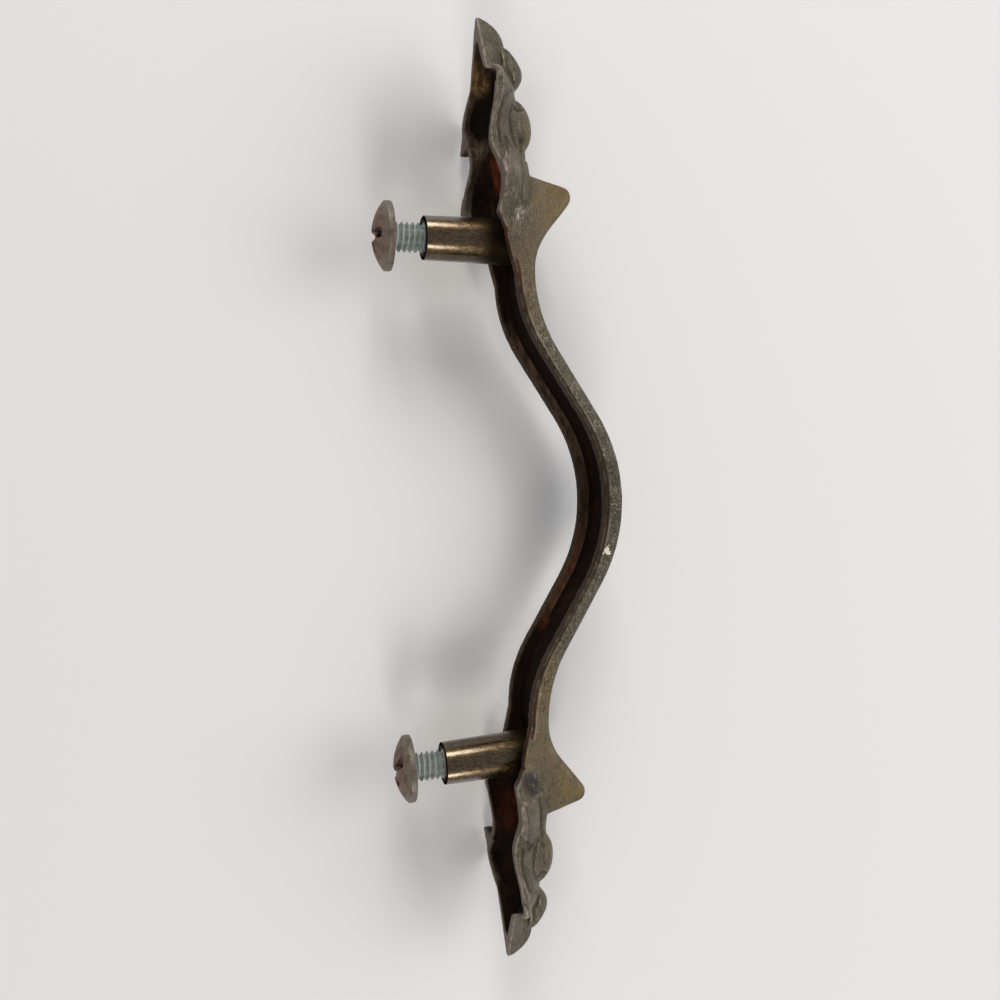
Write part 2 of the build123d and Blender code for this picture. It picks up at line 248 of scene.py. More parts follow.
class Finish:
    """A material, with short calls for the nodes that the finishes share."""

    def __init__(self, name):
        self.material = bpy.data.materials.new(name)
        self.material.use_nodes = True
        self.tree = self.material.node_tree
        self.shader = self.tree.nodes["Principled BSDF"]
        self.place = self.node("ShaderNodeTexCoord").outputs["Object"]

    def node(self, kind, **settings):
        """A new node with its settings."""
        node = self.tree.nodes.new(kind)
        for name, value in settings.items():
            setattr(node, name, value)
        return node

    def put(self, socket, value):
        """Links a socket to another one, or sets its value."""
        if isinstance(value, bpy.types.NodeSocket):
            self.tree.links.new(value, socket)
        else:
            socket.default_value = value

    def feed(self, name, value):
        """Gives one of the shader's sockets a value."""
        self.put(self.shader.inputs[name], value)

    def attribute(self, name):
        """A number kept on the piece's points."""
        node = self.node("ShaderNodeAttribute", attribute_type="GEOMETRY", attribute_name=name)
        return node.outputs["Fac"]

    def vector(self, operation, first, second=None):
        """One step of arithmetic on vectors."""
        node = self.node("ShaderNodeVectorMath", operation=operation)
        self.put(node.inputs[0], first)
        if second is not None:
            self.put(node.inputs[1], second)
        return node.outputs

    def noise(self, size, detail=3.0, stretch=EVEN):
        """Noise of about that size in metres, drawn out along an axis by a small stretch."""
        node = self.node("ShaderNodeTexNoise")
        self.put(node.inputs["Vector"], self.vector("MULTIPLY", self.place, stretch)[0])
        self.put(node.inputs["Scale"], 1.0 / size)
        self.put(node.inputs["Detail"], detail)
        return node.outputs["Fac"]

    def step(self, value, start, end):
        """0 before start and 1 after end, with a smooth rise between."""
        node = self.node("ShaderNodeMapRange", interpolation_type="SMOOTHSTEP")
        self.put(node.inputs["Value"], value)
        self.put(node.inputs["From Min"], start)
        self.put(node.inputs["From Max"], end)
        return node.outputs["Result"]

    def along(self, value, start, end):
        """A step between two places in mm."""
        return self.step(value, start * MM, end * MM)

    def band(self, value, start, full, last, end):
        """1 between two places in mm, with a smooth rise before and a fall behind."""
        return self.times(self.along(value, start, full), self.along(value, end, last))

    def patches(self, size, low, high, detail=4.0, stretch=EVEN):
        """Patches of about that size in mm, from noise between two levels."""
        return self.step(self.noise(size * MM, detail, stretch), low, high)

    def mark(self, name):
        """1 at the centre of one of the marks and 0 past its radius."""
        centre, radius, soft, stretch = MARKS[name]
        away = self.vector("SUBTRACT", self.place, [value * MM for value in centre])[0]
        size = self.vector("LENGTH", self.vector("MULTIPLY", away, stretch)[0])["Value"]
        return self.along(size, radius, radius * (1.0 - soft))

    def math(self, operation, first, second=0.0):
        """One step of arithmetic."""
        node = self.node("ShaderNodeMath", operation=operation)
        self.put(node.inputs[0], first)
        self.put(node.inputs[1], second)
        return node.outputs[0]

    def chain(self, operation, values):
        """The same step of arithmetic over several values."""
        result = values[0]
        for value in values[1:]:
            result = self.math(operation, result, value)
        return result

    def times(self, *values):
        """The product of several masks."""
        return self.chain("MULTIPLY", values)

    def total(self, *values):
        """The sum of several masks."""
        return self.chain("ADD", values)

    def most(self, *values):
        """The greatest of several masks."""
        return self.chain("MAXIMUM", values)

    def rest(self, value):
        """What a mask leaves out."""
        return self.math("SUBTRACT", 1.0, value)

    def mix(self, share, first, second):
        """The first colour where share is 0 and the second where it is 1."""
        node = self.node("ShaderNodeMix", data_type="RGBA")
        self.put(node.inputs[0], share)
        self.put(node.inputs[MIX_FIRST], first)
        self.put(node.inputs[MIX_SECOND], second)
        return node.outputs[MIX_RESULT]

    def axes(self):
        """The place's three coordinates."""
        node = self.node("ShaderNodeSeparateXYZ")
        self.put(node.inputs[0], self.place)
        return node.outputs

    def facing(self, axis):
        """How far the surface faces along a direction."""
        normal = self.node("ShaderNodeNewGeometry").outputs["Normal"]
        return self.vector("DOT_PRODUCT", normal, axis)["Value"]

    def bump(self, height, strength, depth):
        """Roughens the surface by a height pattern."""
        node = self.node("ShaderNodeBump")
        self.put(node.inputs["Strength"], strength)
        self.put(node.inputs["Distance"], depth)
        self.put(node.inputs["Height"], height)
        self.feed("Normal", node.outputs["Normal"])


def merged_node(name):
    """A merged working copy of a node's mesh."""
    work = bmesh.new()
    work.from_mesh(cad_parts[name].data)
    bmesh.ops.remove_doubles(work, verts=work.verts, dist=1e-6)
    return work


def post_faces(work):
    """The faces of a working copy of the casting that lie round its posts."""
    found = []
    for face in work.faces:
        middle = face.calc_center_median()
        if abs(abs(middle.x) - POST_X) < POST_FIELD and abs(middle.z) < POST_FIELD:
            found.append(face)
    return found


def cut_at(work, faces, height, keep_front):
    """Cuts some faces of a working mesh across Y, keeps one side of them and closes the cut."""
    geometry = dict.fromkeys(faces)
    for face in faces:
        geometry.update(dict.fromkeys(face.edges))
        geometry.update(dict.fromkeys(face.verts))
    bmesh.ops.bisect_plane(work, geom=list(geometry), plane_co=(0.0, height, 0.0), plane_no=BACKWARD,
                           clear_outer=keep_front, clear_inner=not keep_front)
    rim = [edge for edge in work.edges if edge.is_boundary]
    bmesh.ops.triangle_fill(work, edges=rim, use_beauty=True)


def new_piece(name, mesh):
    """A shown object at the origin."""
    piece = bpy.data.objects.new(name, mesh)
    bpy.context.scene.collection.objects.link(piece)
    return piece


def settle(piece):
    """Turns a piece's modifiers into a plain mesh."""
    graph = bpy.context.evaluated_depsgraph_get()
    mesh = bpy.data.meshes.new_from_object(piece.evaluated_get(graph))
    piece.modifiers.clear()
    piece.data = mesh
    mesh.name = piece.name


def working_piece(name, work):
    """A shown object from a working mesh."""
    mesh = bpy.data.meshes.new(name)
    work.to_mesh(mesh)
    work.free()
    return new_piece(name, mesh)


def reskin(piece, grain, passes):
    """Works a piece over in small even cells and softens its edges."""
    cells = piece.modifiers.new("Cells", "REMESH")
    cells.mode = "VOXEL"
    cells.voxel_size = grain
    soft = piece.modifiers.new("Soften", "SMOOTH")
    soft.factor = 0.5
    soft.iterations = passes


def uneven(piece, name, size, depth):
    """Lets a piece's skin rise and fall."""
    pattern = bpy.data.textures.new(name, "CLOUDS")
    pattern.noise_scale = size
    pattern.noise_depth = 2
    lift = piece.modifiers.new(name, "DISPLACE")
    lift.texture = pattern
    lift.texture_coords = "LOCAL"
    lift.strength = depth
    lift.mid_level = 0.5


def shade_smooth(piece):
    """Shades all faces of a piece smoothly."""
    piece.data.polygons.foreach_set("use_smooth", [True] * len(piece.data.polygons))


def store(mesh, name, values):
    """Keeps one number for each point of a mesh."""
    layer = mesh.attributes.new(name, "FLOAT", "POINT")
    layer.data.foreach_set("value", np.asarray(values, dtype=np.float32))


def points_of(mesh, name="co"):
    """The places or normals of a mesh's points, one row each."""
    rows = np.empty(len(mesh.vertices) * 3)
    mesh.vertices.foreach_get(name, rows)
    return rows.reshape(-1, 3)


def rise(value, start, end):
    """0 before start and 1 after end, with a smooth rise between."""
    share = np.clip((value - start) / (end - start), 0.0, 1.0)
    return share * share * (3.0 - 2.0 * share)


def links_of(mesh):
    """Both ends of each edge, and the number of neighbours of each point."""
    ends = np.empty(len(mesh.edges) * 2, dtype=np.int64)
    mesh.edges.foreach_get("vertices", ends)
    first, second = ends.reshape(-1, 2).T
    near = np.bincount(ends, minlength=len(mesh.vertices))
    return first, second, np.maximum(near, 1)


def even_out(values, links, share, passes):
    """Draws each point's value towards the mean of its neighbours, by a share."""
    first, second, near = links
    for _ in range(passes):
        spread = np.bincount(first, values[second], len(near))
        spread += np.bincount(second, values[first], len(near))
        values = values + share * (spread / near - values)
    return values


def measure_edges(mesh):
    """Keeps for each point how sharp an edge it lies on."""
    places, normals = points_of(mesh), points_of(mesh, "normal")
    first, second, near = links_of(mesh)
    along = places[second] - places[first]
    along /= np.linalg.norm(along, axis=1)[:, None] + 1e-12
    fall = np.bincount(first, -np.einsum("ij,ij->i", normals[first], along), len(near))
    fall += np.bincount(second, np.einsum("ij,ij->i", normals[second], along), len(near))
    store(mesh, "edge", even_out(fall / near, (first, second, near), 0.5, 2))


def measure_shelter(tree, places, normals, reach, rays=14):
    """How much of each point's surroundings is shut off within a reach, from 0 to 1."""
    spiral = []
    for index in range(rays):
        height = 1.0 - (index + 0.5) / rays
        turn = index * math.pi * (3.0 - math.sqrt(5.0))
        flat = math.sqrt(1.0 - height * height)
        spiral.append(Vector((flat * math.cos(turn), flat * math.sin(turn), height)))
    weight = sum(ray.z for ray in spiral)
    shut = np.zeros(len(places))
    for index, (place, normal) in enumerate(zip(places, normals)):
        normal = Vector(normal)
        start = Vector(place) + normal * RAY_START
        turn = normal.to_track_quat("Z", "Y")
        for ray in spiral:
            if tree.ray_cast(start, turn @ ray, reach)[0] is not None:
                shut[index] += ray.z
    return shut / weight


def measure_enclosure(tree, places, normals):
    """1 for each point that has a wall on both sides of it, as in the hollow back."""
    closed = np.zeros(len(places))
    for index, (place, normal) in enumerate(zip(places, normals)):
        start = Vector(place) + Vector(normal) * RAY_START
        if all(tree.ray_cast(start, Vector((0.0, 0.0, way)))[0] is not None for way in (1.0, -1.0)):
            closed[index] = 1.0
    return closed


def measure_hollow(mesh):
    """Keeps each point's shelter, its depth before the rims, and whether it lies in the hollow back."""
    places, normals = points_of(mesh), points_of(mesh, "normal")
    tree = BVHTree.FromPolygons([Vector(place) for place in places],
                                [tuple(face.vertices) for face in mesh.polygons])
    store(mesh, "shelter", measure_shelter(tree, places, normals, SHELTER_REACH))
    store(mesh, "hollow", even_out(measure_enclosure(tree, places, normals), links_of(mesh), 0.5, 3))
    station = (places[:, 0] - places[:, 0].min()) / STATION
    column = station.astype(int)
    depth = np.empty(len(places))
    for half in (places[:, 2] > 0.0, places[:, 2] <= 0.0):
        backmost = np.full(column.max() + 1, -1.0)
        np.maximum.at(backmost, column[half], places[half, 1])
        rim = np.interp(station[half] - 0.5, np.arange(len(backmost)), backmost)
        depth[half] = rim - places[half, 1]
    store(mesh, "depth", depth)


def gap_to_line(first, second, corners):
    """Distance of each point of a plane to a broken line."""
    gap = np.full(len(first), 1.0)
    for (x1, y1), (x2, y2) in zip(corners, corners[1:]):
        along_x, along_y = x2 - x1, y2 - y1
        share = ((first - x1) * along_x + (second - y1) * along_y) / (along_x ** 2 + along_y ** 2)
        share = np.clip(share, 0.0, 1.0)
        gap = np.minimum(gap, np.hypot(first - x1 - share * along_x, second - y1 - share * along_y))
    return gap


def groove_share(places, normals, width):
    """How deep in a groove of the leaves' relief each point lies, from 0 to 1."""
    out = np.abs(places[:, 0]) - POST_X
    height = RIM_Y - places[:, 1]
    share = np.zeros(len(places))
    for corners, depth in GROOVES:
        line = [(first * MM, second * MM) for first, second in corners]
        share = np.maximum(share, depth * np.exp(-(gap_to_line(out, height, line) / width) ** 2))
    outside = rise(np.abs(places[:, 2]), 1.4 * MM, 2.2 * MM)
    return share * outside * rise(normals[:, 2] * np.sign(places[:, 2]), 0.1, 0.4)


def shape_leaves(mesh, settings):
    """Blends the straps into the casting, cuts the grooves and springs the right strap."""
    places = points_of(mesh)
    out = np.abs(places[:, 0]) - POST_X
    height = RIM_Y - places[:, 1]
    outer = rise(np.abs(places[:, 2]), 3.0 * MM, 4.0 * MM) * rise(height, 0.4 * MM, 0.9 * MM)
    inner_end = np.exp(-((out - STRAP_END) / (1.3 * MM)) ** 2) * rise(height, 8.5 * MM, 7.0 * MM)
    inner_end *= np.where(places[:, 0] > 0.0, 1.0, 0.3)
    to_point = np.hypot(out - STRAP_POINT[0], height - STRAP_POINT[1])
    point = np.exp(-(to_point / (1.2 * MM)) ** 2)
    share = 0.5 * outer * np.maximum(inner_end, point)
    links = links_of(mesh)
    for axis in range(3):
        places[:, axis] = even_out(places[:, axis], links, share, BLEND_PASSES)
    mesh.vertices.foreach_set("co", places.ravel())
    mesh.update()

    normals = points_of(mesh, "normal")
    cut = settings.vein_depth * groove_share(places, normals, settings.vein_width)
    places -= normals * cut[:, None]
    beyond = places[:, 0] - POST_X
    sprung = rise(beyond, 0.5 * MM, 4.0 * MM) * rise(beyond, 13.0 * MM, 9.0 * MM)
    places[:, 1] -= settings.spring * sprung * places[:, 2]
    mesh.vertices.foreach_set("co", places.ravel())
    mesh.update()


def casting_zones(finish):
    """The casting's regions and the patterns of its skin, as masks."""
    across, depth, up = finish.axes()
    out = finish.math("ABSOLUTE", across)
    backward = finish.facing(BACKWARD)
    zone = SimpleNamespace(across=across)
    zone.bow = finish.along(out, 36.0, 26.0)
    zone.leaf = finish.rest(zone.bow)
    zone.crest = finish.along(out, 15.0, 4.0)
    zone.stem = finish.along(out, 41.5, 38.0)
    zone.near = finish.along(up, -3.0, 2.0)
    zone.ear = finish.times(finish.band(out, 33.0, 42.0, 50.0, 62.0), finish.along(depth, -12.5, -17.5))
    zone.strap = finish.times(finish.band(out, 41.0, 42.5, 49.0, 51.0), finish.along(depth, -13.6, -12.4))
    zone.left_neck = finish.band(across, -42.0, -36.0, -26.0, -18.0)
    zone.right_neck = finish.times(finish.band(across, 20.0, 27.0, 36.0, 41.0),
                                   finish.along(depth, -19.0, -15.0))
    zone.below_rim = finish.attribute("depth")
    # Painted shade: the rounding along the bow's near rim takes the colour of the rims that face the
    # drawer.
    shaded_rim_edge = finish.times(zone.stem, zone.near, finish.along(zone.below_rim, 0.85, 0.5))
    zone.back = finish.most(finish.step(backward, 0.45, 0.85), shaded_rim_edge)
    zone.upright = finish.step(backward, 0.80, 0.45)

    zone.grain = finish.patches(0.26, 0.37, 0.63)
    zone.brushed = finish.patches(0.3, 0.34, 0.66, stretch=(0.16, 1.0, 1.0))
    zone.lines = finish.patches(0.4, 0.54, 0.68, 3.0, (0.04, 1.0, 1.0))
    zone.streak = finish.patches(0.8, 0.36, 0.62, 5.0, (0.35, 1.0, 1.0))
    zone.broad = finish.patches(2.6, 0.36, 0.64)
    return zone


def patina(finish, settings, zone):
    """The mottled skin of the sides, with plating, dark spots and bare specks."""
    mottle = finish.total(finish.times(zone.grain, 0.44), finish.times(zone.brushed, 0.34),
                          finish.times(zone.broad, 0.22))
    skin = finish.mix(mottle, settings.dark, settings.pale)
    blush = finish.times(zone.leaf, finish.patches(3.4, 0.45, 0.62, 3.0), 0.40)
    skin = finish.mix(blush, skin, settings.blush)
    plated = finish.most(zone.ear, finish.times(finish.total(zone.left_neck, zone.right_neck), 0.6))
    plated = finish.times(plated, finish.patches(1.4, 0.25, 0.60, 5.0), 0.75)
    skin = finish.mix(plated, skin, settings.brass)
    crest = finish.times(zone.crest, finish.patches(1.8, 0.25, 0.60), 0.65)
    skin = finish.mix(finish.most(crest, finish.times(zone.right_neck, 0.2)), skin, settings.crest)
    spots = finish.times(finish.patches(0.6, 0.46, 0.36), finish.total(0.12, finish.times(zone.bow, 0.5)))
    skin = finish.mix(spots, skin, settings.crest)
    crowded = finish.times(finish.patches(2.0, 0.42, 0.62, 3.0), zone.bow, 0.7)
    specks = finish.times(finish.patches(0.2, 0.52, 0.72, 2.0), finish.total(0.3, crowded))
    skin = finish.mix(specks, skin, settings.speck)
    return finish.mix(finish.times(zone.strap, zone.lines, 0.45), skin, settings.speck)


def rim_tones(finish, settings, zone, skin):
    """The skin with the rims that face the drawer, painted shade on the rounding along the bow's near rim,
    and the pale ridge along that rim.
    """
    rim = finish.mix(zone.stem, settings.back, settings.bow_back_and_shade)
    rim = finish.mix(finish.times(zone.brushed, 0.5), rim, settings.bow_back_and_shade)
    rim = finish.mix(finish.times(zone.stem, zone.lines, 0.28), rim, settings.brass)
    reddened = finish.times(zone.stem, zone.leaf, finish.patches(1.5, 0.40, 0.60), 0.32)
    rim = finish.mix(reddened, rim, settings.rust)
    skin = finish.mix(finish.times(zone.back, 0.95), skin, rim)
    ridge = finish.times(finish.band(zone.below_rim, 0.55, 0.75, 0.85, 1.05), zone.stem, zone.near,
                         finish.patches(1.6, 0.42, 0.62, stretch=(0.3, 1.0, 1.0)), 0.35)
    return finish.mix(ridge, skin, settings.edge)


def wear_and_painted_light(finish, settings, zone, skin):
    """The skin with painted shade in its sheltered corners and grooves, rubbed edges and the single marks,
    one of which is a painted highlight.
    """
    # Painted shade: sheltered corners and the grooves of the relief are darkened with the crest colour.
    corner_shade = finish.most(finish.times(finish.step(finish.attribute("shelter"), 0.12, 0.45), 0.75),
                        finish.times(finish.attribute("groove"), 0.72))
    skin = finish.mix(corner_shade, skin, settings.crest)
    worn = finish.times(finish.step(finish.attribute("edge"), 0.05, 0.14), finish.patches(1.2, 0.30, 0.60),
                        finish.rest(finish.times(zone.stem, 0.5)),
                        finish.total(0.25, finish.times(zone.near, 0.5)))
    skin = finish.mix(worn, skin, settings.edge)
    stain = finish.times(finish.mark("stain"), finish.patches(1.0, 0.28, 0.46), 0.9)
    skin = finish.mix(stain, skin, settings.stain)
    struck = finish.mark("knock")
    ragged = finish.total(struck, finish.times(finish.noise(0.5 * MM), 3.0))
    knock = finish.times(finish.step(ragged, 2.1, 2.3), finish.step(struck, 0.0, 0.2))
    skin = finish.mix(knock, skin, settings.bright)
    # Painted highlight on the right leaf's shoulder, in the bare metal colour over the brushed grain.
    shoulder_glint = finish.step(finish.total(finish.mark("shoulder_glint"), zone.brushed), 0.9, 1.9)
    return finish.mix(finish.times(shoulder_glint, 0.5), skin, settings.bright)


def hollow_tones(finish, settings, zone):
    """The hollow back in painted shade, near black, with brown walls where it opens to the light, rust,
    bare plating and a painted highlight.
    """
    open_bow = finish.band(zone.across, -22.0, -15.0, 22.0, 29.0)
    right_leaf = finish.along(zone.across, 37.0, 45.0)
    # Painted shade: the walls keep their brown only where the hollow is open; the rest is painted near
    # black.
    lit_walls = finish.most(open_bow, finish.total(0.08, finish.times(right_leaf, 0.45)))
    patchy = finish.total(0.35, finish.times(zone.streak, 0.5), finish.times(zone.broad, 0.3))
    inside = finish.mix(finish.times(zone.upright, lit_walls, patchy), settings.hollow, settings.wall)
    reddish = finish.times(zone.upright, finish.band(zone.across, -21.0, -16.0, -9.0, -3.0), 0.4)
    rusty = finish.most(finish.mark("right leaf rust"), finish.times(finish.mark("left leaf rust"), 0.3),
                        finish.times(finish.mark("bow rust"), 0.6), reddish)
    rusty = finish.times(rusty, finish.total(0.28, finish.times(zone.streak, 0.6)))
    film = finish.times(finish.patches(3.2, 0.50, 0.72), 0.07)
    inside = finish.mix(finish.most(film, rusty), inside, settings.rust)
    flecks = finish.times(finish.total(0.25, finish.times(zone.grain, 0.45)),
                          finish.total(0.3, finish.times(zone.streak, 0.9)))
    inside = finish.mix(finish.times(finish.mark("bare plating"), flecks), inside, settings.gold)
    # Painted highlight in the right leaf's hollow, in the pale patina colour.
    return finish.mix(finish.times(finish.mark("clean metal"), flecks), inside, settings.pale)


def casting_finish(settings):
    """Patina over brass plating, with rubbed edges, knocks, a rusty hollow, and painted shade and
    highlights.
    """
    finish = Finish("Aged Casting")
    zone = casting_zones(finish)
    skin = patina(finish, settings, zone)
    skin = rim_tones(finish, settings, zone, skin)
    skin = wear_and_painted_light(finish, settings, zone, skin)
    hollow = finish.attribute("hollow")
    finish.feed("Base Color", finish.mix(hollow, skin, hollow_tones(finish, settings, zone)))
    dull = finish.most(hollow, finish.times(zone.back, zone.stem, 0.85))
    finish.feed("Metallic", finish.math("SUBTRACT", 0.5, finish.times(dull, 0.5)))
    finish.feed("Specular IOR Level", finish.math("SUBTRACT", 0.5, finish.times(dull, 0.44)))
    finish.feed("Roughness", finish.total(0.42, finish.times(finish.noise(0.8 * MM), 0.28),
                                          finish.times(hollow, 0.3)))
    finish.bump(finish.total(zone.grain, zone.brushed), 0.35, 0.04 * MM)
    return finish.material


def post_finish(settings):
    """Dark burnished brass under old lacquer, duller and in painted shade towards the casting, and in
    painted shade on the end face.
    """
    finish = Finish("Burnished Brass")
    across, depth, _ = finish.axes()
    left = finish.along(across, 1.0, -1.0)
    # Painted shade towards the casting, where the casting shadows the post.
    shaded_root = finish.along(finish.total(depth, finish.times(left, 2.0 * MM)), -6.0, -10.0)
    # Painted shade on the end face and the mouth of the hole.
    end = finish.step(finish.facing(BACKWARD), 0.25, 0.6)
    lit = finish.rest(end)
    dull = finish.patches(0.3, 0.34, 0.66, 5.0, (1.0, 0.4, 1.0))
    skin = finish.mix(dull, settings.metal, settings.tarnish)
    skin = finish.mix(finish.times(shaded_root, 0.92), skin, settings.end_and_root_shade)
    finish.feed("Base Color", finish.mix(end, skin, settings.end_and_root_shade))
    finish.feed("Metallic", lit)
    finish.feed("Specular IOR Level", finish.times(lit, 0.5))
    finish.feed("Roughness", finish.total(0.16, finish.times(finish.noise(0.3 * MM, 4.0), 0.22),
                                          finish.times(end, 0.5), finish.times(shaded_root, 0.3)))
    finish.feed("Coat Weight", finish.times(finish.rest(shaded_root), lit))
    finish.feed("Coat IOR", 1.55)
    finish.feed("Coat Roughness", finish.total(0.05, finish.times(finish.noise(0.3 * MM), 0.20)))
    finish.bump(finish.noise(0.2 * MM, 4.0, (1.0, 0.35, 1.0)), 0.5, 0.03 * MM)
    return finish.material


def thread_finish(settings):
    """Blue-grey zinc plating, with painted shade on the flanks that face the head."""
    finish = Finish("Zinc Thread")
    # Painted shade on the flanks that face the head.
    dark = finish.times(finish.step(finish.facing(BACKWARD), -0.35, 0.55), 0.8)
    worn = finish.times(finish.patches(0.6, 0.30, 0.70), 0.2)
    finish.feed("Base Color", finish.mix(finish.total(dark, worn), settings.zinc, settings.zinc_dull_and_shade))
    finish.feed("Metallic", 0.55)
    finish.feed("Roughness", 0.38)
    return finish.material


def head_finish(settings):
    """Dull brown head with rust, a grey rubbed rim, and zinc on its sharp edges that is partly a painted
    highlight.
    """
    finish = Finish("Dull Head")
    across, _, up = finish.axes()
    side = finish.math("SUBTRACT", finish.math("ABSOLUTE", across), POST_X)
    radius = finish.math("SQRT", finish.total(finish.times(side, side), finish.times(up, up)))
    skin = finish.mix(finish.patches(1.3, 0.40, 0.62, 5.0), settings.head, settings.head_rust)
    rubbed = finish.times(finish.along(radius, 3.4, 4.5), finish.patches(1.4, 0.25, 0.60), 0.85)
    skin = finish.mix(rubbed, skin, settings.rim)
    # Zinc on the sharp edges: partly rubbed metal, partly a painted highlight for their glint.
    bright = finish.times(finish.step(finish.attribute("edge"), 0.14, 0.34),
                          finish.patches(1.0, 0.40, 0.62, 3.0), 0.6)
    skin = finish.mix(bright, skin, settings.zinc)
    under = finish.step(finish.facing((0.0, -1.0, 0.0)), 0.5, 0.9)
    finish.feed("Base Color", finish.mix(under, skin, settings.zinc))
    finish.feed("Metallic", 0.55)
    finish.feed("Roughness", 0.48)
    finish.bump(finish.noise(0.3 * MM, 4.0), 0.4, 0.05 * MM)
    return finish.material


class PULL_OT_casting(Operator):
    """Build the bow and leaf ends with their aged skin"""

    bl_idname = "pull.casting"
    bl_label = "Casting"

    def execute(self, context):
        settings = context.scene.pull_casting_settings
        work = merged_node("pull_casting")
        cut_at(work, post_faces(work), POST_CUT_Y, keep_front=True)
        piece = working_piece("casting", work)
        reskin(piece, settings.grain, settings.softening)
        uneven(piece, "Cast swell", settings.swell, settings.unevenness)
        settle(piece)
        shape_leaves(piece.data, settings)
        triangles = sum(len(face.vertices) - 2 for face in piece.data.polygons)
        thin = piece.modifiers.new("Thin", "DECIMATE")
        thin.ratio = min(1.0, settings.limit / triangles)
        settle(piece)
        shade_smooth(piece)
        measure_edges(piece.data)
        measure_hollow(piece.data)
        places, normals = points_of(piece.data), points_of(piece.data, "normal")
        store(piece.data, "groove", groove_share(places, normals, settings.vein_width))
        piece.data.materials.clear()
        piece.data.materials.append(casting_finish(settings))
        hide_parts("pull_casting")
        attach(piece, "pull")
        return {"FINISHED"}


def lathe(name, outline, centre, steps=96):
    """A closed turned piece about an axis along Y, from (radius, y) points."""
    work = bmesh.new()
    rings = []
    for radius, height in outline:
        ring = []
        for step in range(steps):
            turn = 2.0 * math.pi * step / steps
            ring.append(work.verts.new((centre.x + radius * math.cos(turn), height,
                                        centre.z + radius * math.sin(turn))))
        rings.append(ring)
    for ring, following in zip(rings, rings[1:]):
        for step in range(steps):
            ahead = (step + 1) % steps
            work.faces.new((ring[step], ring[ahead], following[ahead], following[step]))
    work.faces.new(rings[0])
    work.faces.new(rings[-1])
    bmesh.ops.recalc_face_normals(work, faces=work.faces)
    return working_piece(name, work)


class PULL_OT_posts(Operator):
    """Build the two tapped posts"""

    bl_idname = "pull.posts"
    bl_label = "Posts"

    def execute(self, context):
        settings = context.scene.pull_post_settings
        metal = post_finish(settings)
        for side in SIDES:
            low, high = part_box(side + "_screw")
            centre = (low + high) / 2.0
            outline = [(settings.root_radius, -settings.root_depth)]
            outline.append((settings.end_radius, -settings.edge_round))
            for share in (0.3, 0.6, 1.0):
                turn = share * math.pi / 2.0
                outline.append((settings.end_radius - settings.edge_round * (1.0 - math.cos(turn)),
                                -settings.edge_round * (1.0 - math.sin(turn))))
            outline.append((settings.mouth_radius, 0.0))
            outline.append((settings.hole_radius, -settings.mouth_depth))
            outline.append((settings.hole_radius, -settings.hole_depth))
            piece = lathe(side + "_post", outline, centre)
            shade_smooth(piece)
            piece.data.set_sharp_from_angle(angle=POST_CRISP)
            piece.data.materials.append(metal)
            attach(piece, "pull")
        return {"FINISHED"}


